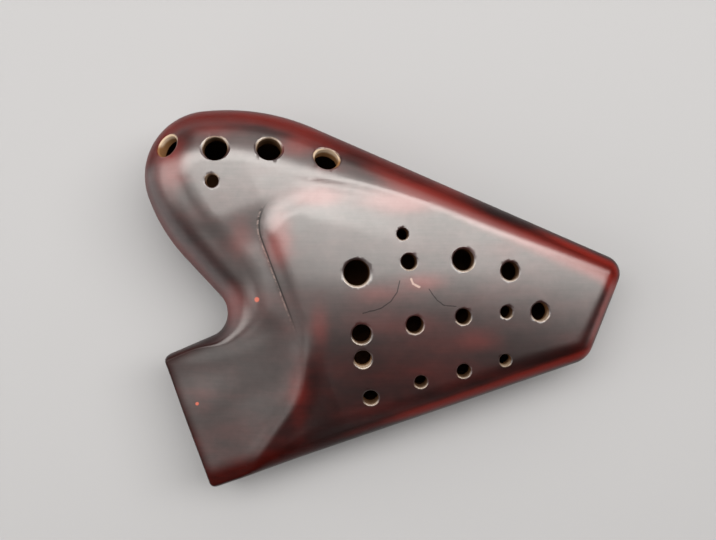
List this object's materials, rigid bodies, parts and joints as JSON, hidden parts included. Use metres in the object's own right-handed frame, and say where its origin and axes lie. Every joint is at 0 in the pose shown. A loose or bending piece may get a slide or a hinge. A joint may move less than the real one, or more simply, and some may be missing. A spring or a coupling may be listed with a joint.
{
  "type": "triple ocarina",
  "caption": "Triple-chamber clay ocarina with a rounded left-hand lobe, raised right-hand playing face, rows of finger holes and a flat three-windway mouthpiece",
  "frame": {"origin": "centre of the footprint, on the plane that the flat belly rests on", "axes": "+X from the mouthpiece to the tip, +Y to the left-hand lobe, +Z out of the finger-hole side"},
  "size_m": [0.2038, 0.1648, 0.0508],
  "materials": {
    "stained_clay": "dark mahogany stain, semi-gloss",
    "fired_clay": "bare fired clay, matt"
  },
  "bodies": {
    "root": {"front_shell": "stained_clay", "back_shell": "stained_clay", "low_mid_wall": "fired_clay", "mid_high_wall": "fired_clay", "mid_end_wall": "fired_clay", "high_end_wall": "fired_clay", "low_windway_block": "fired_clay", "mid_windway_block": "fired_clay", "high_windway_block": "fired_clay"}
  },
  "joints": []
}
